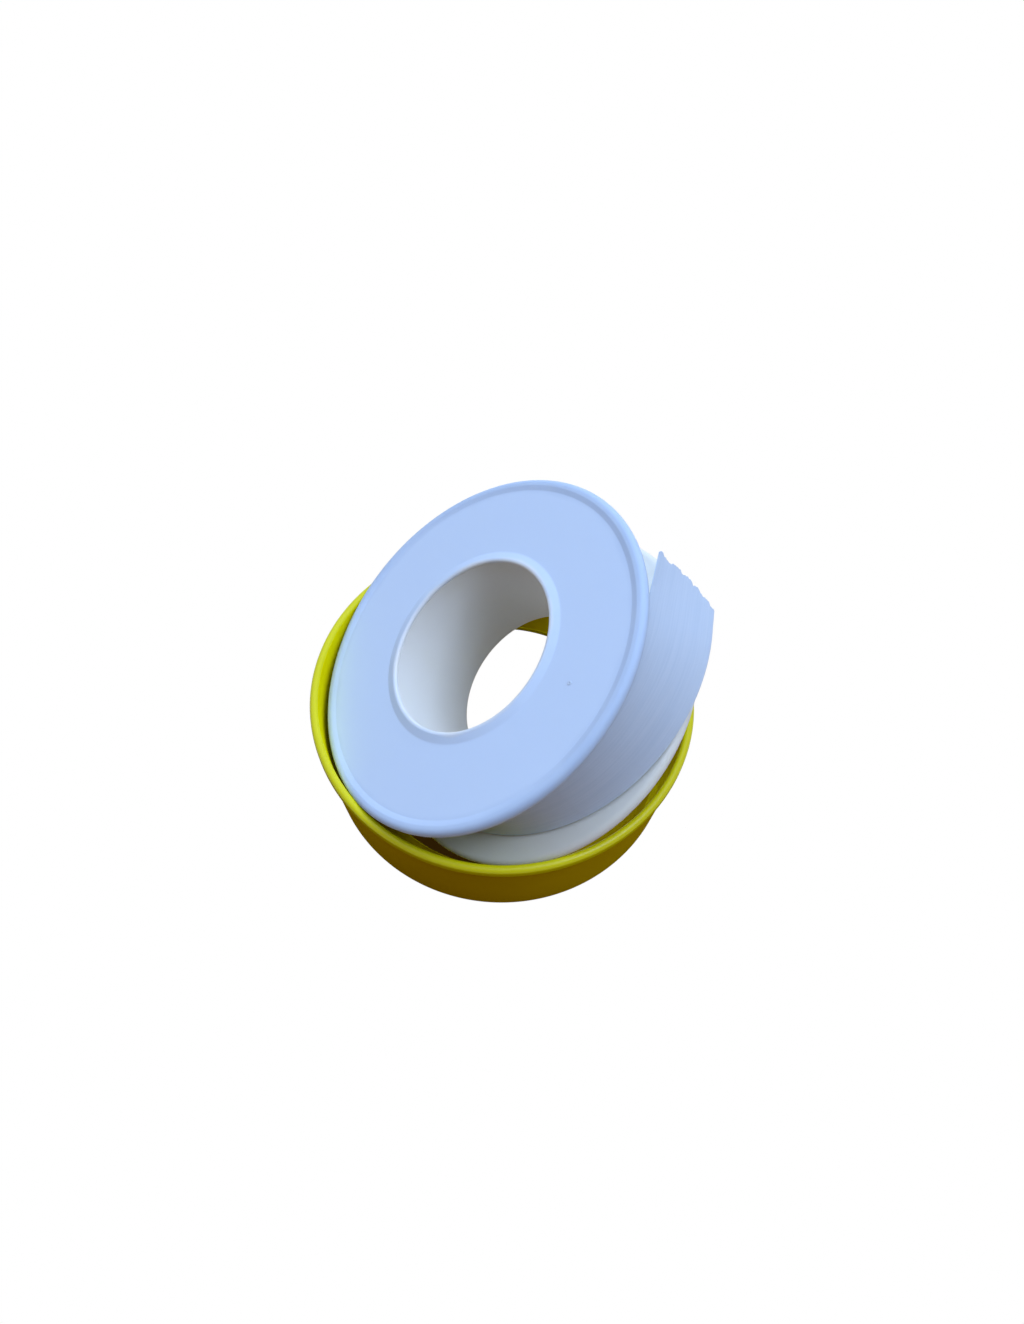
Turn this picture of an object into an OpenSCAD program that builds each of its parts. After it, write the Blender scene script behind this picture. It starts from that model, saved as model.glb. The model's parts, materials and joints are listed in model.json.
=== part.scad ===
// Thread seal tape roll: a white two-piece spool of sealing tape that leans in its yellow
// round cover, with the free end of the tape sprung off the roll and torn across.
// Lengths are in millimetres and angles in degrees. +Z is up. The origin is the middle of the
// cover's underside, on the surface that the cover lies on.

/* [Tape] */
// Width of the tape
tape_w = 12; // [9:0.5:19]
// Thickness of the film
film_t = 0.2; // [0.1:0.05:0.3]
// Outer radius of the tape that is wound tight on the hub
roll_r = 20.35; // [16:0.05:21]
// Radial room between the tight roll and the loose outer turn
turn_clear = 0.1; // [0.05:0.05:0.3]
// Gap that the outer turn keeps to itself where it laps over its own start
lap_gap = 0.45; // [0.42:0.01:0.8]
// Angle by which the outer turn laps over its own start
lap_angle = 20; // [5:5:60]

/* [Free end of the tape] */
// Angle round the roll where the film's front edge leaves it
leave_front = -83; // [-95:1:-75]
// Angle round the roll where the film's rear edge leaves it
leave_rear = -119; // [-125:1:-100]
// Radius of the curl that the film keeps once it is off the roll
curl_r = 26.1; // [25.2:0.1:30]
// Angle round the roll of the line where the free end bends
bend_angle = -52; // [-58:1:-44]
// Length of the free end past the bend line, on the front edge
end_front = 24.2; // [20:0.1:30]
// Length of the free end past the bend line, on the rear edge
end_rear = 25.1; // [20:0.1:30]
// Straight stretch at the tip of the front edge
tip_front = 8; // [2:0.5:12]
// Straight stretch at the tip of the rear edge
tip_rear = 3; // [2:0.5:12]
// Slit between the outer turn and the free end along the bend line
bend_slit = 0.1; // [0.08:0.01:0.2]
// Number of scallops along the torn edge
tear_count = 5; // [3:1:7]
// Height of one scallop of the torn edge
tear_depth = 0.35; // [0.1:0.05:0.6]
// Height of the bulge in the middle of the torn edge
tear_bulge = 0.7; // [0:0.1:1.5]
// Length of the pointed ear at the front corner of the torn edge
tear_ear = 0.5; // [0:0.1:1.2]

/* [Spool] */
// Outer radius of both flanges
flange_r = 25.25; // [24:0.05:30]
// Thickness of a flange at its full round edge
edge_t = 1.6; // [1.2:0.1:2.4]
// Thickness of a flange inside its raised ring
web_t = 1.3; // [0.9:0.1:1.5]
// Width of the raised ring round a flange, with its round edge
ring_w = 1.5; // [1.2:0.1:3]
// Room between the tape and each flange
side_clear = 0.45; // [0.2:0.05:1]
// Radius of the bore through the hub
bore_r = 12.05; // [9:0.05:13]
// Wall of the hub tube that the tape is wound on
hub_wall = 1.15; // [1:0.05:2]
// Height of the rounded lip round the bore above the flange's face
lip_h = 0.45; // [0.3:0.05:1]
// Depth to which the hub's thin end goes into the front flange
socket_depth = 1.2; // [0.8:0.05:1.3]
// Wall of the hub's thin end
spigot_wall = 0.57; // [0.5:0.01:0.7]
// Clearance of the hub's thin end in its socket
socket_clear = 0.03; // [0.02:0.01:0.06]
// Radius of the snap bead that holds the front flange on the hub
snap_r = 0.15; // [0.1:0.01:0.2]
// Radius of the small moulding pip on the front flange's face
pip_r = 0.3; // [0.2:0.05:0.5]
// Distance of the moulding pip from the spool's axis
pip_place_r = 17.7; // [15:0.1:20]
// Angle round the spool where the moulding pip stands
pip_angle = -39; // [-180:1:180]

/* [Cover] */
// Radial room between the flanges and the cover's mouth
cover_fit = 0.6; // [0.3:0.05:0.8]
// Height by which a spool lying flat in the cover stands out of it
cover_proud = 1; // [0.4:0.1:2]
// Wall of the cover
cover_wall = 0.8; // [0.6:0.05:1.2]
// Thickness of the cover's floor
floor_t = 0.8; // [0.6:0.1:1.6]
// Width of the flat floor lip that runs round inside the wall
floor_lip = 4.25; // [2:0.05:6]
// Amount by which the wall draws in from the mouth to the floor
cover_draft = 0.75; // [0.4:0.05:1]
// Height of the bead round the mouth
bead_h = 1.5; // [1.2:0.1:2.5]
// Amount by which the bead stands out from the wall
bead_out = 0.35; // [0.2:0.05:0.6]

/* [Rest] */
// Height of the spool's lowest edge above the surface under the cover
rest_gap = 0.03; // [0.02:0.01:0.1]
// Room between the leaning flanges and the cover's mouth
rim_gap = 0.08; // [0.05:0.01:0.2]

/* [Hidden] */

// Fineness of the round surfaces
$fn = 180;

// Spool, with z = 0 in the middle of the tape and +z out of the front flange
flange_gap = tape_w + 2 * side_clear;
edge_round = edge_t / 2;
flange_mid_z = flange_gap / 2 + edge_round;
face_z = flange_gap / 2 + web_t;
lip_z = face_z + lip_h;
hub_r = bore_r + hub_wall;
lip_round = hub_wall * 0.4;
spigot_r = bore_r + spigot_wall;
snap_z = flange_gap / 2 + socket_depth / 2;
spigot_root = 1;
bore_through = 0.2;
pip_h = 0.12;

// Cover
mouth_r = flange_r + cover_fit;
spool_w = 2 * lip_z;
cover_h = spool_w + floor_t - cover_proud;
wall_r = mouth_r + cover_wall;
bead_r = wall_r + bead_out;
floor_r = mouth_r - cover_draft;
base_r = wall_r - cover_draft;
hole_r = floor_r - floor_lip;
bead_round = (bead_r - mouth_r) * 0.4;
bead_outer_round = (bead_r - mouth_r) * 0.56;
base_round = 0.5;
corner_round = 0.8;

// The spool rests on the lowest point of its rear flange, through the hole in the cover's
// floor, and both flanges lean on the round inner edge of the mouth. Its middle then lies on
// the cover's axis, and the lean is the one that leaves rim_gap at the mouth.
touch_z = cover_h - bead_round;
function rear_z(a) = rest_gap + edge_round + (flange_r - edge_round) * sin(a);
function reach(a) =
    let (drop = touch_z - rear_z(a), apart = 2 * flange_mid_z)
    sqrt(pow(apart * sin(a) / 2, 2) + apart * cos(a) * drop - drop * drop + flange_r * flange_r);
function settle(low, high, steps) =
    let (mid = (low + high) / 2)
    steps == 0 ? mid
    : mouth_r - reach(mid) < rim_gap ? settle(mid, high, steps - 1)
    : settle(low, mid, steps - 1);
lean = settle(20, 60, 30);
spool_z = rear_z(lean) + flange_mid_z * cos(lean);

// Film, as the rows of a ribbon: v runs from 0 at the front edge to 1 at the rear edge, and s
// is the length along the film from the point where the roll's angle is 0
turn_rise = film_t + lap_gap;
turn_start = leave_rear - 360 - lap_angle;
start_r = roll_r + turn_clear + film_t / 2;
function turn_r(a) = start_r + turn_rise * (a - turn_start) / 360;
film_r = turn_r(leave_rear);
deg_per_mm = 180 / PI / film_r;
bend_s = bend_angle / deg_per_mm;
function mix(a, b, v) = a + (b - a) * v;
function dir(a) = [cos(a), sin(a)];
function smooth_end(v) = bend_s + mix(end_front, end_rear, v);
function torn_end(v) =
    smooth_end(v) + tear_bulge * 4 * v * (1 - v) + tear_depth * abs(sin(180 * tear_count * v))
    + tear_ear * pow(1 - min(1, v * tear_count), 2);
// Angle in the film's own curl, which stops turning at the straight tip
function curl_angle(s, v) =
    let (leave = mix(leave_front, leave_rear, v))
    let (bent = min(s, smooth_end(v) - mix(tip_front, tip_rear, v)))
    leave + (bent * deg_per_mm - leave) * film_r / curl_r;
function film_side(s, v) =
    s * deg_per_mm <= mix(leave_front, leave_rear, v) ? dir(s * deg_per_mm) : dir(curl_angle(s, v));
function film_mid(s, v) =
    let (leave = mix(leave_front, leave_rear, v), past = s - smooth_end(v) + mix(tip_front, tip_rear, v))
    s * deg_per_mm <= leave
    ? turn_r(s * deg_per_mm) * dir(s * deg_per_mm)
    : (turn_r(leave) - curl_r) * dir(leave) + curl_r * dir(curl_angle(s, v))
      + max(0, past) * dir(curl_angle(s, v) + 90);
function film_point(s, v, side) =
    let (p = film_mid(s, v) + side * film_t / 2 * film_side(s, v))
    [p.x, p.y, tape_w * (1 / 2 - v)];

// Steps of the film's mesh
turn_step = 5;
turn_strips = 4;
end_steps = 12;
end_strips = 4 * tear_count;
turn_first_s = turn_start / deg_per_mm;
turn_last_s = bend_s - bend_slit / 2;
end_first_s = bend_s + bend_slit / 2;
turn_steps = ceil((bend_angle - turn_start) / turn_step);

// Bend line on the film's outer face, in the cover's frame
function posed(p) =
    [p.x * cos(lean) - p.z * sin(lean), p.y, spool_z + p.x * sin(lean) + p.z * cos(lean)];
bend_front = posed(film_point(bend_s, 0, 1));
bend_rear = posed(film_point(bend_s, 1, 1));
bend_line = bend_rear - bend_front;

echo("least gap of the outer turn to itself, mm", turn_r(turn_start + 360) - start_r - film_t);
echo("lean of the spool, degrees", lean);
echo("middle of the spool above the surface, mm", spool_z);
echo("middle of the bend line, mm", (bend_front + bend_rear) / 2);
echo("direction of the bend line", bend_line / norm(bend_line));

// Carries what is drawn on the spool's own axis to where the spool leans
module leaning() {
    translate([0, 0, spool_z]) rotate([0, -lean, 0]) children();
}

// Ring round the z axis, from the inner to the outer radius and the low to the high height
module ring(inner, outer, low, high) {
    translate([0, 0, low]) difference() {
        cylinder(r = outer, h = high - low);
        translate([0, 0, -1]) cylinder(r = inner, h = high - low + 2);
    }
}

// Section of one flange: web, raised ring with its full round edge, and the lip round the bore
module flange_section() {
    inner_z = flange_gap / 2;
    translate([bore_r, inner_z]) square([flange_r - ring_w / 2 - bore_r, web_t]);
    translate([flange_r - ring_w, inner_z]) square([ring_w - edge_round, edge_t]);
    translate([flange_r - edge_round, flange_mid_z]) circle(r = edge_round, $fn = 48);
    translate([bore_r, face_z - lip_round]) square([hub_wall, lip_h]);
    translate([bore_r + lip_round, face_z]) square([hub_wall - 2 * lip_round, lip_h]);
    for (x = [bore_r + lip_round, hub_r - lip_round])
        translate([x, lip_z - lip_round]) circle(r = lip_round, $fn = 32);
}

// Small moulding pip on the front flange's face
module face_pip() {
    rotate([0, 0, pip_angle]) translate([pip_place_r, 0, face_z - pip_h])
        cylinder(r = pip_r, h = 2 * pip_h, $fn = 24);
}

// Section of the hub's thin end with its snap bead, or of the room for it, larger by room
module spigot_section(room) {
    translate([bore_r, flange_gap / 2 - spigot_root])
        square([spigot_wall + room, spigot_root + socket_depth + room]);
    translate([spigot_r, snap_z]) circle(r = snap_r + room, $fn = 24);
}

// Front half of the spool: a flange with a socket for the hub's thin end
module front_flange() {
    color([0.88, 0.92, 0.97]) leaning() {
        rotate_extrude() difference() {
            flange_section();
            translate([-bore_through, 0]) spigot_section(socket_clear);
            spigot_section(socket_clear);
        }
        face_pip();
    }
}

// Rear half of the spool: a flange in one piece with the hub tube
module rear_flange_hub() {
    color([0.88, 0.92, 0.97]) leaning() rotate_extrude() {
        mirror([0, 1]) flange_section();
        translate([bore_r, -flange_mid_z]) square([hub_wall, flange_mid_z + flange_gap / 2]);
        spigot_section(0);
    }
}

// Tape that is still wound tight on the hub
module wound_roll() {
    color([0.93, 0.95, 0.98]) leaning() ring(hub_r, roll_r, -tape_w / 2, tape_w / 2);
}

// Film between rows of s values, closed to a solid. lengths[i][j] is s at step i and strip j.
module film(lengths) {
    rows = len(lengths);
    cols = len(lengths[0]);
    size = rows * cols;
    points = [
        for (side = [1, -1]) for (i = [0 : rows - 1]) for (j = [0 : cols - 1])
            film_point(lengths[i][j], j / (cols - 1), side)
    ];
    outer = [
        for (i = [0 : rows - 2]) for (j = [0 : cols - 2])
            let (p = i * cols + j)
            each [[p, p + cols, p + 1], [p + 1, p + cols, p + cols + 1]]
    ];
    inner = [for (f = outer) [f[0] + size, f[2] + size, f[1] + size]];
    sides = [
        for (i = [0 : rows - 2]) for (j = [0, cols - 1])
            let (p = i * cols + j, q = p + cols)
            each j == 0
            ? [[p, p + size, q], [q, p + size, q + size]]
            : [[p, q, p + size], [q, q + size, p + size]]
    ];
    ends = [
        for (j = [0 : cols - 2]) for (i = [0, rows - 1])
            let (p = i * cols + j, q = p + 1)
            each i == 0
            ? [[p, q, p + size], [q, q + size, p + size]]
            : [[p, p + size, q], [q, p + size, q + size]]
    ];
    polyhedron(points = points, faces = concat(outer, inner, sides, ends), convexity = 6);
}

// Loose outer turn of the tape, up to the line where the free end bends
module outer_turn() {
    color([0.90, 0.93, 0.98]) leaning() film([
        for (i = [0 : turn_steps]) [
            for (j = [0 : turn_strips]) mix(turn_first_s, turn_last_s, i / turn_steps)
        ]
    ]);
}

// Free end of the tape, up to the torn edge
module free_end() {
    color([0.84, 0.90, 0.98]) leaning() film([
        for (i = [0 : end_steps]) [
            for (j = [0 : end_strips]) mix(end_first_s, torn_end(j / end_strips), i / end_steps)
        ]
    ]);
}

// Section of the bead round the mouth, rounder outside than inside
module bead_section() {
    low = cover_h - bead_h;
    outer_x = bead_r - bead_outer_round;
    translate([mouth_r, low]) square([outer_x - mouth_r, bead_h - bead_round]);
    translate([mouth_r + bead_round, low]) square([outer_x - mouth_r - bead_round, bead_h]);
    translate([outer_x, low]) square([bead_outer_round, bead_h - bead_outer_round]);
    translate([mouth_r + bead_round, cover_h - bead_round]) circle(r = bead_round, $fn = 32);
    intersection() {
        translate([outer_x, cover_h - bead_outer_round]) circle(r = bead_outer_round, $fn = 32);
        translate([mouth_r + bead_round, low]) square([bead_r - mouth_r, bead_h]);
    }
}

// Section of the cover: floor lip, drawn-in wall and the bead round the mouth
module cover_section() {
    difference() {
        union() {
            polygon([
                [hole_r, 0], [base_r - base_round, 0], [base_r, base_round],
                [wall_r, cover_h - bead_h], [wall_r, cover_h - bead_outer_round],
                [mouth_r, cover_h - bead_round], [floor_r, floor_t], [hole_r, floor_t]
            ]);
            translate([base_r - base_round, base_round]) circle(r = base_round, $fn = 32);
            translate([floor_r - corner_round, floor_t]) square(corner_round);
            bead_section();
        }
        translate([floor_r - corner_round, floor_t + corner_round]) circle(r = corner_round, $fn = 48);
    }
}

// Round cover that the spool leans in, open above and in the middle of its floor
module cover_shell() {
    color([0.80, 0.80, 0.08]) rotate_extrude() cover_section();
}

cover_shell();
rear_flange_hub();
front_flange();
wound_roll();
outer_turn();
free_end();
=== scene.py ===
# %% [markdown]
# # A roll of thread seal tape, leaning in its cover
#
# The real object is a small plumber's roll: a white spool made of two moulded halves, one long
# strip of thin white film wound on it, and a low yellow cover that the spool is kept in. Here the
# spool leans in the cover and the free end of the film has sprung off the roll.
#
# The pieces already exist as plain solids at their real size and place. This script loads them as
# a fixed frame, builds a finer mesh over each one, and gives every surface its own finish.

import json
import math

import bpy
import numpy as np
from mathutils import Matrix, Vector


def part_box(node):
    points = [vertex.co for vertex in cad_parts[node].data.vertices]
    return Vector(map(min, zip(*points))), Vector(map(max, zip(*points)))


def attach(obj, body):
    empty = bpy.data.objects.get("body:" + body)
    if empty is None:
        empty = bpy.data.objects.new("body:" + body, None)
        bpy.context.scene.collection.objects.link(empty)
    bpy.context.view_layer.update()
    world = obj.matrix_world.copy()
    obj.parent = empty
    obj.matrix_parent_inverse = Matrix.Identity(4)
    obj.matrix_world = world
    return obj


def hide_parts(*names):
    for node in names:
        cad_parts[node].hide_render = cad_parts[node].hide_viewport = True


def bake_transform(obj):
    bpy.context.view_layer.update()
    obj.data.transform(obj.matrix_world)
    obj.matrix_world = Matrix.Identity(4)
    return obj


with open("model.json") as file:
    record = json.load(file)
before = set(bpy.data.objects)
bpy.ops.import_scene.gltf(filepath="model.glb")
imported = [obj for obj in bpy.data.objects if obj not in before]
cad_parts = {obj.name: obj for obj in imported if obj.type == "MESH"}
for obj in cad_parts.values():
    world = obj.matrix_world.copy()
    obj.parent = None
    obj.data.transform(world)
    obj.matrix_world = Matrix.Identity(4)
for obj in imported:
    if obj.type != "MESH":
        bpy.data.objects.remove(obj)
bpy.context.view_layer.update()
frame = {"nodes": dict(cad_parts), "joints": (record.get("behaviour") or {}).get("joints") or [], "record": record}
print("nodes:", sorted(frame["nodes"]))

# %% [markdown]
# ## Where the spool is, and how large
#
# A spool is easiest to draw standing upright on its own axis, with z = 0 in the middle of the
# tape. One matrix then carries it to where it leans. The joint that the spool turns on gives that
# axis and its middle, and the solids' boxes give the outer sizes, so nothing is placed by eye.

# %% Sizes in millimetres
MM = 0.001

joint = {j["name"]: j for j in frame["joints"]}
mount = {m["name"]: m for m in frame["record"]["mounts"]}

spool_middle = Vector(joint["spool_spin"]["pos_m"])
spool_axis = Vector(joint["spool_spin"]["axis"]).normalized()
spool_side = Vector((0, 1, 0)).cross(spool_axis)
leaning = Matrix((spool_side, (0, 1, 0), spool_axis)).transposed().to_4x4()
leaning = Matrix.Translation(spool_middle) @ leaning
upright = Matrix.Identity(4)

flange_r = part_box("front_flange")[1].y / MM
bore_r = mount["spool_bore"]["dims"]["r_mm"]
bead_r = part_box("cover_shell")[1].y / MM
cover_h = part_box("cover_shell")[1].z / MM

tape_w = 12
side_clear = 0.45
edge_t = 1.6
web_t = 1.3
ring_w = 1.5
hub_wall = 1.15
lip_h = 0.45
spigot_wall = 0.57
spigot_l = 1.2
spigot_gap = 0.03
roll_r = 20.35

half_gap = tape_w / 2 + side_clear
face_z = half_gap + web_t
ring_z = half_gap + edge_t
lip_z = face_z + lip_h
hub_r = bore_r + hub_wall

lean_angle = math.degrees(math.atan2(-spool_axis.x, spool_axis.z))
print(f"flange radius {flange_r:.2f}, bore radius {bore_r:.2f}, lean {lean_angle:.2f} degrees")
print(f"cover radius {bead_r:.2f}, height {cover_h:.2f}")

# %% [markdown]
# ## The camera
#
# The photograph looks down on the roll from a short distance, so near edges look larger than far
# ones. The place, the aim and the focal length were worked out by fitting the outlines of the
# flanges, the bore and the cover, and the image is taken to be 1024 by 1324 pixels.

# %% Camera
IMAGE_H = 1324
FOCAL_PX = 869.3
CENTRE_ROW = 664
NEAREST = 5
CAMERA_AT = Vector((-5.534, -62.074, 121.646)) * MM
CAMERA_LOOKS = Vector((0.05669, 0.52801, -0.84734))
CAMERA_RIGHT = Vector((0.99741, -0.06757, 0.02462))

camera = bpy.data.objects.new("camera", bpy.data.cameras.new("camera"))
bpy.context.scene.collection.objects.link(camera)
camera.data.lens = FOCAL_PX / IMAGE_H * camera.data.sensor_width
camera.data.shift_y = (CENTRE_ROW - IMAGE_H / 2) / IMAGE_H
camera.data.clip_start = NEAREST * MM
camera_up = CAMERA_RIGHT.cross(CAMERA_LOOKS)
camera_turn = Matrix((CAMERA_RIGHT, camera_up, -CAMERA_LOOKS)).transposed().to_4x4()
camera.matrix_world = Matrix.Translation(CAMERA_AT) @ camera_turn
bpy.context.scene.camera = camera
print(f"lens {camera.data.lens:.2f} mm, {CAMERA_AT.length / MM:.0f} mm from the origin")

# %% [markdown]
# ## Nodes and colours
#
# A material is a small graph of nodes. One function adds a node with its settings and its links,
# and one turns a colour written as an sRGB hex value into the linear numbers that Blender uses. A
# colour ramp's stops count as a setting of its node.

# %% Helpers for materials
def linear(hex_value):
    """sRGB hex such as FFFFFF as linear red, green, blue and alpha."""
    shares = [int(hex_value[i : i + 2], 16) / 255 for i in (0, 2, 4)]
    return (*[c / 12.92 if c <= 0.04045 else ((c + 0.055) / 1.055) ** 2.4 for c in shares], 1)


def add(tree, kind, settings=None, links=None):
    """Adds one node. Settings are sockets, properties or stops, links are sockets to read."""
    made = tree.nodes.new("ShaderNode" + kind)
    for name, value in (settings or {}).items():
        if name == "stops":
            for i, (position, colour) in enumerate(value):
                stops = made.color_ramp.elements
                stop = stops[i] if i < 2 else stops.new(position)
                stop.position, stop.color = position, colour
        elif isinstance(name, str) and name in made.bl_rna.properties:
            setattr(made, name, value)
        else:
            made.inputs[name].default_value = value
    for name, source in (links or {}).items():
        tree.links.new(source, made.inputs[name])
    return made


def new_material(name):
    """An empty material and its node tree."""
    material = bpy.data.materials.new(name)
    material.use_nodes = True
    material.node_tree.nodes.clear()
    return material, material.node_tree


print("the grey 808080 is", round(linear("808080")[0], 3), "in linear light")

# %% [markdown]
# ## Cover: moulded polypropylene, yellow
#
# The cover is injection moulded. The top of the bead comes out of the polished part of the mould
# and is fairly glossy, while the wall is drawn out of it along its draft, which leaves it matt. The
# yellow pigment is dense: light doesn't pass the wall. The inside is painted a lighter yellow, as
# painted light in the cup, and the outside a darker, browner one, as painted shade on the wall,
# which stands in its own shade. What keeps it from looking like a computer drawing is the faint
# orange peel that the shrinking plastic leaves, a gloss that isn't even, and fine rubs. The peel's
# bumps are about 2 mm across and its clouds of tone 9 mm. Real rubs are finer than a tenth of a
# millimetre, too fine for this picture, so they are drawn 0.35 mm across. One function makes all
# four finishes, which differ in tone and gloss.

# %% Yellow polypropylene
POLYPROPYLENE_IOR = 1.49
PEEL_W = 1.8
PEEL_H = 0.05
RUB_W = 0.35
CLOUD_W = 9
MATT = (0.5, 0.65)
POLISHED = (0.28, 0.40)


def yellow_polypropylene(name, tones, specular, roughness):
    """Yellow plastic between two tones, and between a lowest and a highest roughness."""
    material, tree = new_material(name)
    place = add(tree, "TexCoord").outputs["Object"]
    peel = add(tree, "TexNoise", {"Scale": 1 / (PEEL_W * MM), "Detail": 2.0}, {"Vector": place})
    rubs = add(tree, "TexNoise", {"Scale": 1 / (RUB_W * MM), "Detail": 6.0, "Roughness": 0.7},
               {"Vector": place})
    cloud = add(tree, "TexNoise", {"Scale": 1 / (CLOUD_W * MM), "Detail": 3.0}, {"Vector": place})
    tone = add(tree, "ValToRGB", {"stops": ((0.3, linear(tones[0])), (0.7, linear(tones[1])))},
               {"Fac": cloud.outputs["Fac"]})
    gloss = add(tree, "MapRange", {
        "From Min": 0.35, "From Max": 0.7, "To Min": roughness[0], "To Max": roughness[1],
    }, {"Value": rubs.outputs["Fac"]})
    bump = add(tree, "Bump", {"Strength": 0.12, "Distance": PEEL_H * MM},
               {"Height": peel.outputs["Fac"]})
    shader = add(tree, "BsdfPrincipled", {
        "IOR": POLYPROPYLENE_IOR,
        "Specular IOR Level": specular,
    }, {
        "Base Color": tone.outputs["Color"],
        "Roughness": gloss.outputs["Result"],
        "Normal": bump.outputs["Normal"],
    })
    add(tree, "OutputMaterial", links={"Surface": shader.outputs["BSDF"]})
    return material


# The inside's lighter yellow is painted light, and the side's darker, browner yellow is painted shade.
cover_finishes = [
    yellow_polypropylene("yellow_polypropylene_inside_painted_light", ("F0DE05", "F4E60A"), 0.0, MATT),
    yellow_polypropylene("yellow_polypropylene_bead", ("D9D204", "DED809"), 0.32, POLISHED),
    yellow_polypropylene("yellow_polypropylene_edge", ("D9D204", "DED809"), 0.0, MATT),
    yellow_polypropylene("yellow_polypropylene_side_painted_shade", ("C9AF05", "CFB508"), 0.0, MATT),
]
INSIDE, BEAD, EDGE, SIDE = range(len(cover_finishes))
print("materials:", [finish.name for finish in cover_finishes])

# %% [markdown]
# ## Spool: moulded polypropylene, natural white
#
# The spool has little pigment, so light goes a millimetre or so into it before it comes back out.
# The flanges are thin, so some light goes on through them. The bore is painted the lightest, as
# painted light for the light that the hub and the tape send back into it. The front flange is a
# cooler white, and its edge is painted darker, as painted shade on the round edge. The rear one is
# painted a warm cream, as painted light for the yellow light that the cover throws on it. The
# surface is a satin one, from a mould that was ground but not polished, and it swells slightly
# every 7 mm or so, where the thin wall has sunk as it cooled. The marks of the grinding are really a
# few hundredths of a millimetre wide. They are drawn 0.25 mm wide, so that they show.

# %% Places on the spool
def spool_place(tree):
    """Places as seen from the upright spool, so that a pattern can follow its axis."""
    return add(tree, "Mapping", {
        "vector_type": "TEXTURE",
        "Location": spool_middle,
        "Rotation": leaning.to_euler(),
    }, {"Vector": add(tree, "TexCoord").outputs["Object"]}).outputs["Vector"]


print("the spool's patterns turn by", [round(math.degrees(a), 2) for a in leaning.to_euler()])

# %% White polypropylene
GRIND_W = 0.25
GRIND_H = 0.02
SWELL_W = 7
SWELL_H = 0.12
WAVER = 1.5
BORE_TONE_W = 0.8
WEB_FROM_BORE = 1.6
WEB_TO_EDGE = 2.5
EDGE_TONE_W = 0.2
TONES_FROM_R = 10
TONES_TO_R = 30


def tone_place(radius_mm):
    """Where a radius lies between the first and the last one of the colour ramp."""
    return (radius_mm - TONES_FROM_R) / (TONES_TO_R - TONES_FROM_R)


def white_polypropylene(name, web, edge):
    """White plastic, with painted light in the bore, then of the web's colour and last of the edge's, where a
    darker colour is painted shade.
    """
    material, tree = new_material(name)
    place = spool_place(tree)
    grind = add(tree, "TexNoise", {"Scale": 1 / (GRIND_W * MM), "Detail": 4.0}, {"Vector": place})
    swell = add(tree, "TexNoise", {"Scale": 1 / (SWELL_W * MM), "Detail": 2.0}, {"Vector": place})
    flat = add(tree, "VectorMath", {"operation": "MULTIPLY", 1: (1, 1, 0)}, {0: place})
    radius = add(tree, "VectorMath", {"operation": "LENGTH"}, {0: flat.outputs["Vector"]})
    wavy = add(tree, "Math", {"operation": "MULTIPLY_ADD", 1: WAVER * MM},
               {0: swell.outputs["Fac"], 2: radius.outputs["Value"]})
    share = add(tree, "MapRange", {"From Min": TONES_FROM_R * MM, "From Max": TONES_TO_R * MM},
                {"Value": wavy.outputs["Value"]})
    # The light tone at the bore is painted light, and an edge darker than the web is painted shade.
    tone = add(tree, "ValToRGB", {"stops": (
        (tone_place(bore_r + BORE_TONE_W), linear("EAEAE6")),
        (tone_place(bore_r + WEB_FROM_BORE), linear(web)),
        (tone_place(flange_r - WEB_TO_EDGE + WAVER / 2), linear(web)),
        (tone_place(flange_r - EDGE_TONE_W + WAVER / 2), linear(edge)),
    )}, {"Fac": share.outputs["Result"]})
    gloss = add(tree, "MapRange", {
        "From Min": 0.3, "From Max": 0.7, "To Min": 0.40, "To Max": 0.52,
    }, {"Value": grind.outputs["Fac"]})
    fine = add(tree, "Bump", {"Strength": 0.06, "Distance": GRIND_H * MM},
               {"Height": grind.outputs["Fac"]})
    bump = add(tree, "Bump", {"Strength": 0.25, "Distance": SWELL_H * MM},
               {"Height": swell.outputs["Fac"], "Normal": fine.outputs["Normal"]})
    shader = add(tree, "BsdfPrincipled", {
        "IOR": POLYPROPYLENE_IOR,
        "Specular IOR Level": 0.15,
        "Subsurface Weight": 0.4,
        "Subsurface Radius": (1.0, 1.0, 1.0),
        "Subsurface Scale": 0.8 * MM,
    }, {
        "Base Color": tone.outputs["Color"],
        "Roughness": gloss.outputs["Result"],
        "Normal": bump.outputs["Normal"],
    })
    add(tree, "OutputMaterial", links={"Surface": shader.outputs["BSDF"]})
    return material


# The front flange's darker edge is painted shade.
front_white_painted_light_and_shade = white_polypropylene("white_polypropylene_front_painted_light_and_shade", "D0E0F4", "BBCEE6")
# The rear half's warm cream is painted light: the yellow light that the cover throws on it.
rear_white_painted_light = white_polypropylene("white_polypropylene_rear_painted_light", "E8E8DE", "E8E8DE")
print("materials:", front_white_painted_light_and_shade.name, rear_white_painted_light.name)

# %% [markdown]
# ## Tape: expanded PTFE film
#
# The film is made by squeezing PTFE paste through a die and rolling and stretching it, and it is
# never sintered. The rolling leaves fine soft streaks along its length, and the open, fibrous
# surface has almost no gloss. The streaks follow the film, so the mesh carries a map of the film
# laid flat, in millimetres: u is the length along it and v the place across it. The finest real
# streaks are thinner than a hair, so they are drawn 0.28 mm wide and 9 mm long. Bands of 1.6 mm
# under them keep them from looking even.

# %% PTFE film
PTFE_IOR = 1.35
STREAK_W = 0.28
STREAK_L = 9.0
BAND_W = 1.6
BAND_L = 40
BAND_SHARE = 0.5


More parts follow.
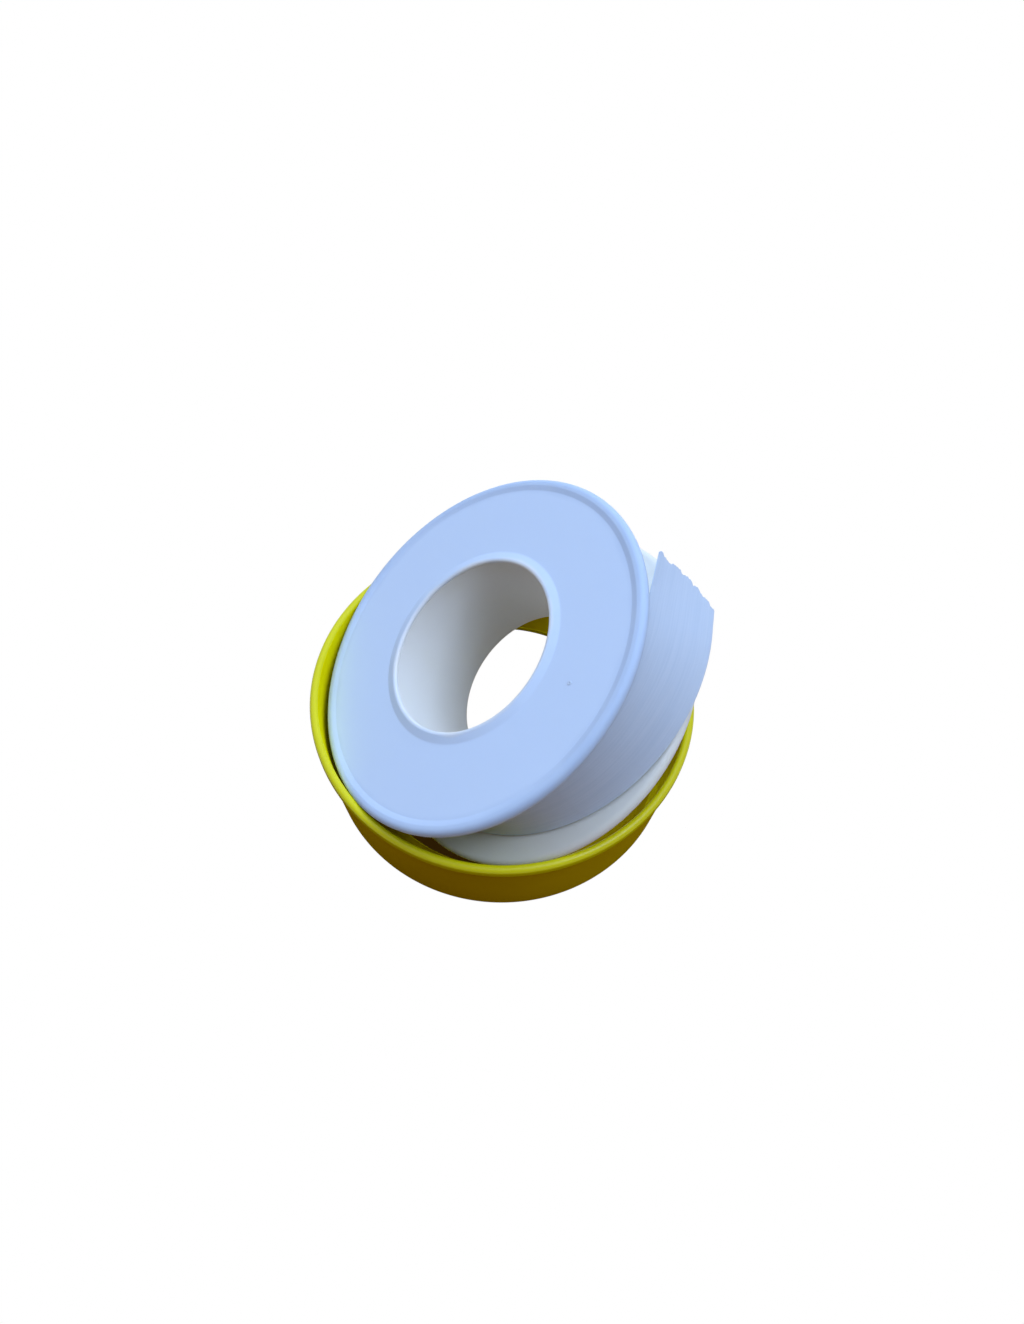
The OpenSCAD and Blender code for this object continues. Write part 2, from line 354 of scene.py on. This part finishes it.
def ptfe_film():
    """Film with streaks along its length."""
    material, tree = new_material("ptfe_film")
    flat = add(tree, "UVMap", {"uv_map": "flat_mm"}).outputs["UV"]
    along = add(tree, "Mapping", {"Scale": (1 / STREAK_L, 1 / STREAK_W, 1.0)}, {"Vector": flat})
    streaks = add(tree, "TexNoise", {"Scale": 1.0, "Detail": 3.0, "Roughness": 0.55},
                  {"Vector": along.outputs["Vector"]})
    wide = add(tree, "Mapping", {"Scale": (1 / BAND_L, 1 / BAND_W, 1.0)}, {"Vector": flat})
    bands = add(tree, "TexNoise", {"Scale": 1.0, "Detail": 1.0}, {"Vector": wide.outputs["Vector"]})
    both = add(tree, "Math", {"operation": "MULTIPLY_ADD", 1: BAND_SHARE},
               {0: bands.outputs["Fac"], 2: streaks.outputs["Fac"]})
    tone = add(tree, "ValToRGB", {"stops": ((0.55, linear("C6D8EF")), (0.95, linear("CEDEF4")))},
               {"Fac": both.outputs["Value"]})
    bump = add(tree, "Bump", {"Strength": 0.1, "Distance": 0.03 * MM},
               {"Height": both.outputs["Value"]})
    shader = add(tree, "BsdfPrincipled", {
        "IOR": PTFE_IOR,
        "Roughness": 0.7,
        "Specular IOR Level": 0.3,
        "Subsurface Weight": 0.6,
        "Subsurface Radius": (1.0, 1.0, 1.0),
        "Subsurface Scale": 0.3 * MM,
    }, {
        "Base Color": tone.outputs["Color"],
        "Normal": bump.outputs["Normal"],
    })
    add(tree, "OutputMaterial", links={"Surface": shader.outputs["BSDF"]})
    return material


film_finish = ptfe_film()
print("material:", film_finish.name)

# %% [markdown]
# ## The sides of the wound tape
#
# Hundreds of turns lie edge to edge on the sides of the roll, and read as fine rings. A turn is a
# tenth of a millimetre thick, too fine for this picture, so the rings are drawn a little coarser.
# A wave texture of scale 1 passes through 20 radians in one unit, and its scale follows from that.

# %% Edges of the wound film
RING_PITCH = 0.3
WAVE_RADIANS = 20


def wound_edges():
    """Fine rings round the spool's axis."""
    material, tree = new_material("wound_ptfe_edges")
    rings = add(tree, "TexWave", {
        "wave_type": "RINGS", "rings_direction": "Z",
        "Scale": 2 * math.pi / (WAVE_RADIANS * RING_PITCH * MM), "Distortion": 0.6, "Detail": 1.0,
    }, {"Vector": spool_place(tree)})
    tone = add(tree, "ValToRGB", {"stops": ((0, linear("B8C7DD")), (1, linear("D0DFF3")))},
               {"Fac": rings.outputs["Fac"]})
    bump = add(tree, "Bump", {"Strength": 0.5, "Distance": 0.04 * MM},
               {"Height": rings.outputs["Fac"]})
    shader = add(tree, "BsdfPrincipled", {
        "IOR": PTFE_IOR,
        "Roughness": 0.75,
        "Specular IOR Level": 0.3,
    }, {
        "Base Color": tone.outputs["Color"],
        "Normal": bump.outputs["Normal"],
    })
    add(tree, "OutputMaterial", links={"Surface": shader.outputs["BSDF"]})
    return material


roll_finish = wound_edges()
print("material:", roll_finish.name)

# %% [markdown]
# ## Turned pieces
#
# Cover, flanges, hub and roll are all turned shapes: one closed outline of radius and height, spun
# round an axis. Moulded plastic has no sharp edge, so each corner of an outline states its own
# fillet. Short faces beside each fillet keep the smooth shading from bleeding into flat faces.

# %% Outline
FILLET_STEPS = 7
SUPPORT = 0.07
LONGEST = 2.5


def rounded(corners):
    """A closed outline from corners of (radius, height, fillet), in millimetres."""
    points = []
    for i, (radius, height, fillet) in enumerate(corners):
        here = Vector((radius, height))
        back = (Vector(corners[i - 1][:2]) - here).normalized()
        ahead = (Vector(corners[(i + 1) % len(corners)][:2]) - here).normalized()
        half = back.angle(ahead) / 2
        centre = here + (back + ahead).normalized() * fillet / math.sin(half)
        start = here + back * fillet / math.tan(half) - centre
        end = here + ahead * fillet / math.tan(half) - centre
        turn = start.angle_signed(end)
        for k in range(FILLET_STEPS + 1):
            points.append(centre + Matrix.Rotation(-turn * k / FILLET_STEPS, 2) @ start)
    return points


def supported(points):
    """The outline with short edges beside each fillet and no edge over the longest."""
    finer = []
    for here, ahead in zip(points, points[1:] + points[:1]):
        finer.append(here)
        length = (ahead - here).length
        if length > 4 * SUPPORT:
            inner = length - 2 * SUPPORT
            count = math.ceil(inner / LONGEST)
            stops = [SUPPORT + inner * k / count for k in range(count + 1)]
            finer += [here.lerp(ahead, stop / length) for stop in stops]
    return finer


print(f"{FILLET_STEPS} edges to a fillet, none of the others over {LONGEST} mm")

# %% Lathe
TURN_STEPS = 256


def to_mesh(name, points, faces, place, finish, uv=None):
    """A smooth mesh object from points in millimetres, carried by place, in metres."""
    mesh = bpy.data.meshes.new(name)
    mesh.from_pydata([place @ (Vector(p) * MM) for p in points], [], faces)
    mesh.validate()
    mesh.shade_smooth()
    if uv is not None:
        layer = mesh.uv_layers.new(name="flat_mm")
        for loop in mesh.loops:
            layer.data[loop.index].uv = uv[loop.vertex_index]
    mesh.materials.append(finish)
    made = bpy.data.objects.new(name, mesh)
    bpy.context.scene.collection.objects.link(made)
    print(f"{name}: {len(mesh.vertices)} points, {len(mesh.polygons)} faces")
    return made


def turned(name, corners, place, finish):
    """Spins an outline round the z axis."""
    outline = supported(rounded(corners))
    count = len(outline)
    points = []
    for step in range(TURN_STEPS):
        angle = 2 * math.pi * step / TURN_STEPS
        points += [(p.x * math.cos(angle), p.x * math.sin(angle), p.y) for p in outline]
    faces = []
    for step in range(TURN_STEPS):
        ahead = (step + 1) % TURN_STEPS
        for i in range(count):
            j = (i + 1) % count
            faces.append((step * count + i, ahead * count + i, ahead * count + j, step * count + j))
    return to_mesh(name, points, faces, place, finish)


print(f"a turned piece has {TURN_STEPS} steps round")

# %% [markdown]
# ## The cover
#
# A low cup with a thin drawn-in wall, so that it leaves the mould, and a bead round the mouth that
# stiffens it. The floor is only a lip: the wide hole lets a finger push the spool out. The inside,
# the top of the bead, its outer edge and the side of the wall each get one of the four finishes.

# %% Cover
mouth_wall = 0.8
bead_out = 0.35
bead_h = 1.5
bead_round = 0.46
bead_outer_round = 0.65
draft = 0.75
floor_t = 0.8
floor_lip = 4.25

wall_r = bead_r - bead_out
mouth_r = wall_r - mouth_wall
base_r = wall_r - draft
floor_r = mouth_r - draft
hole_r = floor_r - floor_lip

cover = turned("cover_moulding", [
    (hole_r, 0, 0.12),
    (base_r, 0, 0.5),
    (wall_r, cover_h - bead_h, 0.08),
    (bead_r, cover_h - bead_h, 0.14),
    (bead_r, cover_h, bead_outer_round),
    (mouth_r, cover_h, bead_round),
    (floor_r, floor_t, 0.8),
    (hole_r, floor_t, 0.1),
], upright, cover_finishes[INSIDE])
for finish in cover_finishes[BEAD:]:
    cover.data.materials.append(finish)
# The inside gets the painted light, and the outer side of the wall gets the painted shade.
for face in cover.data.polygons:
    faces_outward = face.normal.xy.dot(face.center.xy) > 0
    if face.center.z > (cover_h - bead_outer_round) * MM and face.normal.z > 0.5:
        face.material_index = BEAD
    elif faces_outward:
        face.material_index = EDGE if face.center.z > (cover_h - bead_h) * MM else SIDE
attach(cover, "cover")
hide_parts("cover_shell")

# %% [markdown]
# ## The spool's two halves
#
# Both flanges have the same face: a flat web, a slightly raised ring along the full round edge, and
# a rounded lip round the bore. The hub is one piece with the rear flange, and its thin end snaps
# into a socket in the front flange. That leaves a fine joint line just inside the front lip. The
# bore widens by a tenth of a millimetre towards that line, in one long soft curve.

# %% Flanges and hub
FILLETS_APART = 0.01
edge_round = (edge_t - FILLETS_APART) / 2
mouth_flare = 0.1
flare_l = 3.5
flare_round = 20
ring_r = flange_r - ring_w
spigot_r = bore_r + spigot_wall
spigot_z = half_gap + spigot_l

step_soft = 0.35
step_round = 0.6
web_rise = 0.1
web_z = face_z + web_rise
lip_slope = 0.55
lip_round = 0.34

face_corners = [
    (flange_r, half_gap, edge_round),
    (flange_r, ring_z, edge_round),
    (ring_r + step_soft, ring_z, step_round),
    (ring_r - step_soft, web_z, step_round),
    (hub_r + lip_slope, web_z, 0.9),
    (hub_r - lip_slope, lip_z, 0.35),
    (bore_r + mouth_flare, lip_z, lip_round),
]

front = turned("front_flange_moulding", [
    (spigot_r + spigot_gap, half_gap, 0.08),
    *face_corners,
    (bore_r + mouth_flare, spigot_z + spigot_gap, 0.07),
    (spigot_r + spigot_gap, spigot_z + spigot_gap, 0.05),
], leaning, front_white_painted_light_and_shade)
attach(front, "spool")
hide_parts("front_flange")

rear = turned("rear_flange_and_hub_moulding", [
    (bore_r + mouth_flare, spigot_z, 0.07),
    (bore_r, lip_z - flare_l, flare_round),
    (bore_r, -lip_z, lip_round),
    *[(r, -z, fillet) for r, z, fillet in reversed(face_corners[:-1])],
    (hub_r, -half_gap, 0.3),
    (hub_r, half_gap, 0.05),
    (spigot_r, half_gap, 0.05),
    (spigot_r, spigot_z, 0.07),
], leaning, rear_white_painted_light)
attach(rear, "spool")
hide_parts("rear_flange_hub")

# %% [markdown]
# ## The gate mark
#
# Plastic flows into the mould through one small gate. Where it is cut off, the front flange keeps
# a mark of about half a millimetre: a low ring with a dimple.

# %% Gate mark
gate_place_r = 17.7
gate_angle = -39
gate_r = 0.3
gate_pin_r = 0.04
gate_root = -0.1

gate_place = leaning @ Matrix.Rotation(math.radians(gate_angle), 4, "Z")
gate_place = gate_place @ Matrix.Translation(Vector((gate_place_r, 0, web_z)) * MM)
gate = turned("gate_mark", [
    (gate_pin_r, gate_root, 0.01),
    (gate_r, gate_root, 0.01),
    (gate_r, 0.04, 0.03),
    (gate_r / 2, 0.07, 0.03),
    (gate_pin_r, 0.01, 0.01),
], gate_place, front_white_painted_light_and_shade)
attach(gate, "spool")

# %% [markdown]
# ## The tight roll
#
# All the tape below the last turn is one ring. Its outer edge isn't quite crisp, because soft film
# never winds up flush.

# %% Tight roll
roll_clear = 0.02

roll = turned("wound_tape", [
    (hub_r + roll_clear, -tape_w / 2, 0.05),
    (roll_r, -tape_w / 2, 0.15),
    (roll_r, tape_w / 2, 0.15),
    (hub_r + roll_clear, tape_w / 2, 0.05),
], leaning, roll_finish)
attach(roll, "spool")
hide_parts("wound_roll")

# %% [markdown]
# ## The film
#
# The last turn lies loose on the roll and laps over its own start. Then the film leaves the roll,
# the front edge later than the rear one, keeps a weaker curl, and ends in a torn edge. All of that
# is one rule that gives a point for a length s along the film and a place v across it.

# %% The film's rule
lap_start = -499
lap_first_r = 20.55
lap_rise = 0.65
leave_front = -83
leave_rear = -119
curl_r = 26.1
bend_angle = -52
end_front = 24.2
end_rear = 25.1
tip_front = 8
tip_rear = 3
film_t = 0.1


def turn_r(angle):
    """Radius of the loose turn at an angle round the roll, in degrees."""
    return lap_first_r + lap_rise * (angle - lap_start) / 360


film_r = turn_r(leave_rear)
degrees_per_mm = 180 / math.pi / film_r
bend_s = bend_angle / degrees_per_mm


def mix(a, b, share):
    """The number that lies a share of the way from a to b."""
    return a + (b - a) * share


def ray(angle):
    """The direction of an angle round the roll, in degrees."""
    return np.array((math.cos(math.radians(angle)), math.sin(math.radians(angle))))


def film_point(s, v, side):
    """A point of the film, side -1 on its inner face and 1 on its outer face."""
    angle = s * degrees_per_mm
    leave = mix(leave_front, leave_rear, v)
    if angle <= leave:
        middle, out = turn_r(angle) * ray(angle), ray(angle)
    else:
        straight_from = bend_s + mix(end_front, end_rear, v) - mix(tip_front, tip_rear, v)
        curl = leave + (min(s, straight_from) * degrees_per_mm - leave) * film_r / curl_r
        out = ray(curl)
        middle = (turn_r(leave) - curl_r) * ray(leave) + curl_r * out
        middle = middle + max(0, s - straight_from) * ray(curl + 90)
    x, y = middle + out * side * film_t / 2
    return x, y, tape_w * (0.5 - v)


print(f"the film is at radius {film_r:.2f} where its rear edge leaves the roll")
print(f"bend line at s = {bend_s:.2f}")

# %% [markdown]
# ## The torn edge
#
# Tape this soft is torn over a thumbnail or a serrated edge. It leaves a few shallow scallops of
# uneven width, a sharp ear at one corner, a small hook at the other, and a fray of fine fibres. The
# fray is a sum of three waves with no common period, so it looks uneven but is the same at every
# run.

# %% The torn edge's rule
tear_count = 5
tear_depth = 0.35
tear_bulge = 0.7
tear_ear = 0.5
tear_waver = 0.03
ear_peak = 0.25
ear_place = 0.03
ear_w = 0.03
hook_peak = 0.3
hook_place = 0.985
hook_w = 0.02
fray = 0.045
FRAY_WAVES = (61, 97, 143)


def torn_end(v):
    """Length along the film at which it is torn, for a place across it."""
    uneven = v + tear_waver * math.sin(8 * v + 1)
    scallops = tear_depth * abs(math.sin(math.pi * tear_count * uneven))
    ear = tear_ear * (1 - min(1, v * tear_count)) ** 2
    ear += ear_peak * math.exp(-((v - ear_place) / ear_w) ** 2)
    ear += hook_peak * math.exp(-((v - hook_place) / hook_w) ** 2)
    fibres = sum(math.sin(v * k + k) for k in FRAY_WAVES) * fray
    whole = bend_s + mix(end_front, end_rear, v) + tear_bulge * 4 * v * (1 - v)
    return whole + scallops + ear + fibres


print("torn", [round(torn_end(v) - bend_s, 1) for v in (0, 0.5, 1)], "mm beyond the bend line")

# %% [markdown]
# ## Two stretches of one strip
#
# The loose turn and the free end come from one ribbon function, so they meet without a step. A
# ribbon is a closed mesh: an inner and an outer face, a film's thickness apart, and a narrow wall
# round the border. The first ends and the second starts where the film still lies on the roll, and
# each point keeps its place on the flat film as its map.

# %% Ribbon of film
STRIPS = 80
FILM_STEP = 0.35
CREASE = 50


def film_piece(name, first, last):
    """A closed ribbon of film between two lengths, which may differ across it."""
    rows = math.ceil((last(0.5) - first) / FILM_STEP) + 1
    cols = STRIPS + 1
    points, uv = [], []
    for side in (1, -1):
        for i in range(rows):
            for j in range(cols):
                v = j / STRIPS
                s = mix(first, last(v), i / (rows - 1))
                points.append(film_point(s, v, side))
                uv.append((s, v * tape_w))
    size = rows * cols
    top = [(i * cols + j, i * cols + j + 1, (i + 1) * cols + j + 1, (i + 1) * cols + j)
           for i in range(rows - 1) for j in range(STRIPS)]
    under = [tuple(k + size for k in reversed(face)) for face in top]
    border = [i * cols for i in range(rows)]
    border += [(rows - 1) * cols + j for j in range(1, cols)]
    border += [i * cols + STRIPS for i in range(rows - 2, -1, -1)]
    border += [j for j in range(STRIPS - 1, 0, -1)]
    walls = [(a, b, b + size, a + size) for a, b in zip(border, border[1:] + border[:1])]
    made = to_mesh(name, points, top + under + walls, leaning, film_finish, uv)
    made.data.set_sharp_from_angle(angle=math.radians(CREASE))
    return made


print(f"a ribbon has {STRIPS} faces across and one every {FILM_STEP} mm along")

# %% Loose turn and free end
seam_angle = -72
seam_s = seam_angle / degrees_per_mm
lap_s = lap_start / degrees_per_mm

turn = film_piece("outer_turn_of_film", lap_s, lambda v: seam_s)
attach(turn, "tape_wrap")
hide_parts("outer_turn")

free = film_piece("free_end_of_film", seam_s, torn_end)
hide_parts("free_end")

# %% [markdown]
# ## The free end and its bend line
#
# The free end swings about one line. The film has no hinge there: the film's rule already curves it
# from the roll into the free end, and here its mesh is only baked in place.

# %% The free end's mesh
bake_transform(free)
print("bend line middle at", [round(c / MM, 2) for c in joint["tape_peel"]["pos_m"]])

# %% [markdown]
# ## The floor
#
# The photograph has a plain white ground and no shadow round the roll, but the bench is seen dark
# through the gap between rim and spool. So the floor is white to the camera, with painted shade
# where little of the sky reaches it. The share of open sky is an ambient occlusion node with a
# short reach, and a dark brown is painted where it is small. The floor behind the bore is painted
# as more open, because the photograph is white there. All other rays meet a warm brown floor of
# middle tone, as of a wooden bench. The light that it throws back makes the cover's side brownish,
# together with the painted shade in the side's own colour.

# %% Rays that look
def looking(tree):
    """1 for a ray from the camera, a mirror or glass, 0 for one that gathers light."""
    rays = add(tree, "LightPath")
    sharp = add(tree, "Math", {"operation": "MAXIMUM"},
                {0: rays.outputs["Is Glossy Ray"], 1: rays.outputs["Is Transmission Ray"]})
    return add(tree, "Math", {"operation": "MAXIMUM"},
               {0: rays.outputs["Is Camera Ray"], 1: sharp.outputs["Value"]}).outputs["Value"]


print("camera, glossy and transmission rays see plain white")

# %% Floor's finish
WHITE = linear("FFFFFF")
SHADOW_REACH = 17
SHADOW_SAMPLES = 300
DARK_SHARE = 0.34
WHITE_SHARE = 0.42
BEHIND_FROM_Y = -5
BEHIND_TO_Y = 10
BEHIND_SHARE = 0.15


def floor_finish(name, shaded):
    """White to the camera, with painted shade where it is shaded and covered, and brown to light."""
    material, tree = new_material(name)
    seen = add(tree, "Emission", {"Strength": 1.0, "Color": WHITE})
    if shaded:
        open_sky = add(tree, "AmbientOcclusion", {
            "Distance": SHADOW_REACH * MM, "samples": SHADOW_SAMPLES,
        })
        spot = add(tree, "SeparateXYZ", links={"Vector": add(tree, "TexCoord").outputs["Object"]})
        behind = add(tree, "MapRange", {
            "From Min": BEHIND_FROM_Y * MM, "From Max": BEHIND_TO_Y * MM,
            "To Min": 0.0, "To Max": BEHIND_SHARE,
        }, {"Value": spot.outputs["Y"]})
        share = add(tree, "Math", {"operation": "ADD"},
                    {0: open_sky.outputs["AO"], 1: behind.outputs["Result"]})
        # The dark stop is painted shade on the floor.
        tone = add(tree, "ValToRGB", {
            "stops": ((DARK_SHARE, linear("2A1B04")), (WHITE_SHARE, WHITE)),
        }, {"Fac": share.outputs["Value"]})
        tree.links.new(tone.outputs["Color"], seen.inputs["Color"])
    bounce = add(tree, "BsdfDiffuse", {"Color": linear("8E725E")})
    both = add(tree, "MixShader", links={
        0: looking(tree), 1: bounce.outputs["BSDF"], 2: seen.outputs["Emission"],
    })
    add(tree, "OutputMaterial", links={"Surface": both.outputs["Shader"]})
    return material


print(f"the floor is shaded where less than {WHITE_SHARE:.0%} of the sky is open")

# %% Floor
NEAR_R = 31
FAR_R = 1500
SIDES = 72

around = [ray(360 / SIDES * k) for k in range(SIDES)]
points = [(r * x, r * y, 0) for r in (NEAR_R, FAR_R) for x, y in around]
faces = [tuple(range(SIDES))]
faces += [(k, SIDES + k, SIDES + (k + 1) % SIDES, (k + 1) % SIDES) for k in range(SIDES)]
floor = to_mesh("floor", points, faces, upright, floor_finish("pale_floor_near_painted_shade", True))
floor.data.materials.append(floor_finish("pale_floor_far", False))
for face in floor.data.polygons[1:]:
    face.material_index = 1

# %% [markdown]
# ## Light
#
# The light in the photograph is soft and cool, and comes from high up and from behind the roll:
# the cover's front is in its own shade. A sky that is bright round that direction and nearly dark
# elsewhere gives most of it. One softbox above and to the right opens up the bore and the near side
# of the tape, and a large faint one behind rounds off the edges. The camera, and what a mirror or
# glass would show, see plain white instead of that sky.

# %% World
SKY_TOWARDS = (0.0, 0.48, 0.877)
SKY_DARK = (0.064, 0.034, 0.014, 1)
SKY_BRIGHT = (0.564, 0.708, 0.952, 1)
SKY_STRENGTH = 1.88

world = bpy.data.worlds.new("studio")
bpy.context.scene.world = world
world.use_nodes = True
sky = world.node_tree
sky.nodes.clear()
toward = add(sky, "VectorMath", {"operation": "DOT_PRODUCT", 1: SKY_TOWARDS},
             {0: add(sky, "TexCoord").outputs["Generated"]})
glow = add(sky, "ValToRGB", {"stops": ((0.48, SKY_DARK), (0.82, SKY_BRIGHT))},
           {"Fac": toward.outputs["Value"]})
room = add(sky, "Background", {"Strength": SKY_STRENGTH}, {"Color": glow.outputs["Color"]})
backdrop = add(sky, "Background", {"Color": WHITE, "Strength": 1.0})
chosen = add(sky, "MixShader", links={
    0: looking(sky), 1: room.outputs["Background"], 2: backdrop.outputs["Background"],
})
add(sky, "OutputWorld", links={"Surface": chosen.outputs["Shader"]})
print("the sky is brightest", round(math.degrees(math.asin(SKY_TOWARDS[2]))), "degrees up")

# %% Lamps
LAMP_COLOUR = (0.577, 0.708, 0.952)


def softbox(name, side, at, watts):
    """A square soft lamp that faces the roll. Its side and place are in metres."""
    lamp = bpy.data.objects.new(name, bpy.data.lights.new(name, "AREA"))
    lamp.data.size = side
    lamp.data.energy = watts
    lamp.data.color = LAMP_COLOUR
    lamp.location = at
    lamp.rotation_euler = (-Vector(at)).to_track_quat("-Z", "Y").to_euler()
    bpy.context.scene.collection.objects.link(lamp)
    print(f"{name}: {watts} W, {Vector(at).length / MM:.0f} mm from the origin")


softbox("softbox_back", 0.6, (0.08, 0.2, 0.52), 0.3)
softbox("softbox_right", 0.25, (0.24, -0.1, 0.53), 1.65)
bpy.context.scene.view_settings.view_transform = "Standard"
